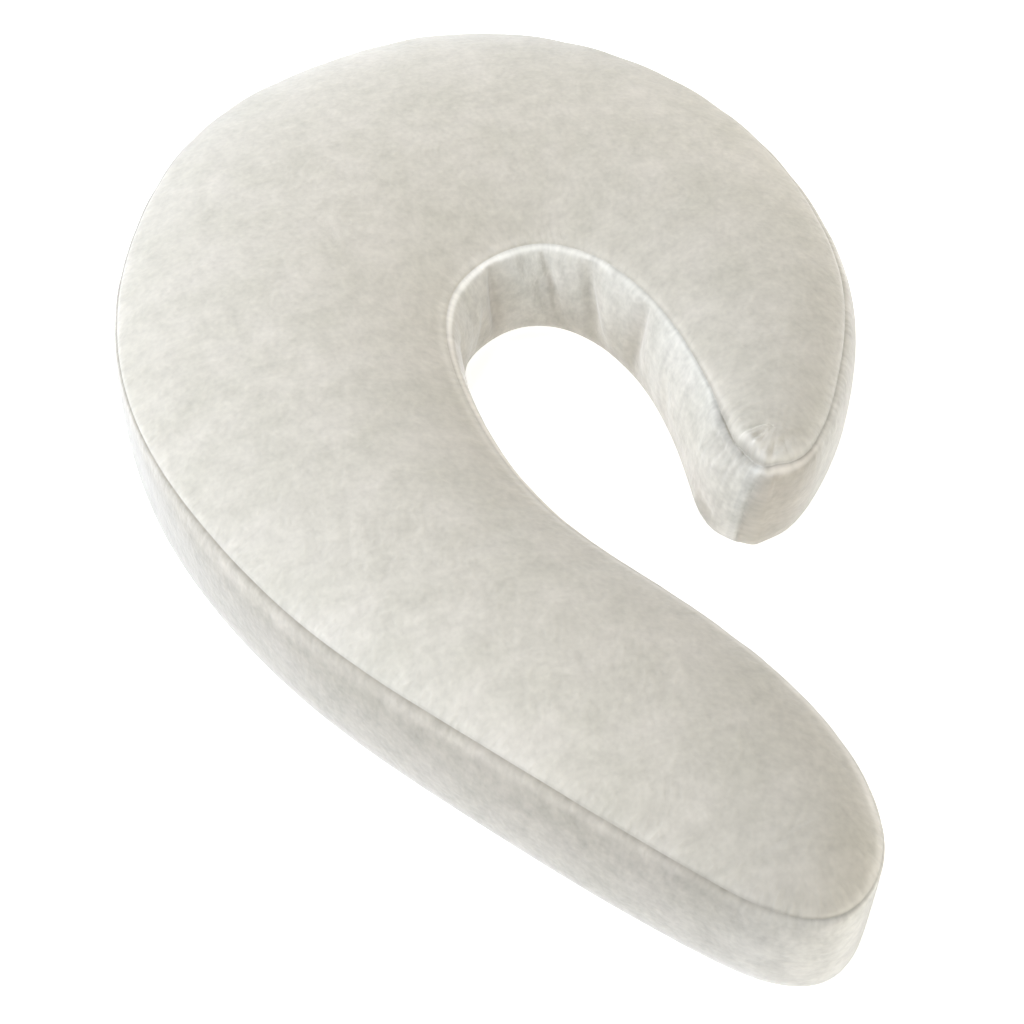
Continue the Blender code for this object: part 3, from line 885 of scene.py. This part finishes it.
COOL = (0.93, 1.0, 1.10)    # tones of the open sky ...
PLAIN = (1.02, 1.0, 0.98)   # ... of plain daylight
WARM = (1.02, 1.0, 0.94)    # ... and of a warm wall
MIDDLE = (0.0, 0.0, 0.1)    # the windows face the pillow's middle, and each lamp a part of it
Panel = namedtuple("Panel", "name place aim size watts tone")
PANELS = (
    Panel("window", (-1.75, 0.0, 1.1), MIDDLE, 0.8, 24.0, COOL),
    Panel("front_window", (-2.5, -1.4, 2.1), MIDDLE, 1.6, 12.0, COOL),
    Panel("skylight", (-0.25, 0.45, 2.0), MIDDLE, 0.8, 18.0, PLAIN),
    Panel("back_window", (-1.0, 1.7, 0.45), MIDDLE, 0.8, 11.0, COOL),
    Panel("back_lamp", (0.0, 1.1, 0.45), (0.0, 0.4, 0.1), 0.45, 1.0, WARM),
    Panel("right_lamp", (1.1, 0.6, 0.45), (0.4, 0.2, 0.1), 0.45, 4.5, WARM),
    Panel("leg_lamp", (-0.3, -0.6, 0.45), (-0.1, -0.2, 0.1), 0.45, 0.4, PLAIN),
    Panel("low_fill", (1.0, -1.7, 0.45), MIDDLE, 0.8, 14.0, WARM),
)
ROOM_LIGHT = 0.08

for panel in PANELS:
    light = bpy.data.lights.new(panel.name, "AREA")
    light.size = panel.size
    light.energy = panel.watts
    light.color = panel.tone
    lamp = bpy.data.objects.new(panel.name, light)
    lamp.location = panel.place
    lamp.visible_camera = False
    facing = Vector(panel.aim) - lamp.location
    lamp.rotation_euler = facing.to_track_quat("-Z", "Y").to_euler()
    bpy.context.scene.collection.objects.link(lamp)

room = bpy.data.worlds.new("white_room")
room.use_nodes = True
room.node_tree.nodes["Background"].inputs["Color"].default_value = (1.0, 1.0, 1.0, 1.0)
room.node_tree.nodes["Background"].inputs["Strength"].default_value = ROOM_LIGHT
bpy.context.scene.world = room
bpy.context.scene.view_settings.view_transform = "Standard"

CAMERA_PLACE = (-0.5200, -1.4996, 1.8404)
CAMERA_AHEAD = (0.1986, 0.6113, -0.7660)    # 50 degrees down, 18 to the right of the y axis
LENS_MM = 70.0
SENSOR_MM = 36.0

camera_data = bpy.data.cameras.new("camera")
camera_data.lens = LENS_MM
camera_data.sensor_width = SENSOR_MM
camera_data.clip_start = 0.05
camera_data.clip_end = 50.0
camera = bpy.data.objects.new("camera", camera_data)
camera.location = CAMERA_PLACE
camera.rotation_euler = Vector(CAMERA_AHEAD).to_track_quat("-Z", "Y").to_euler()
bpy.context.scene.collection.objects.link(camera)
bpy.context.scene.camera = camera
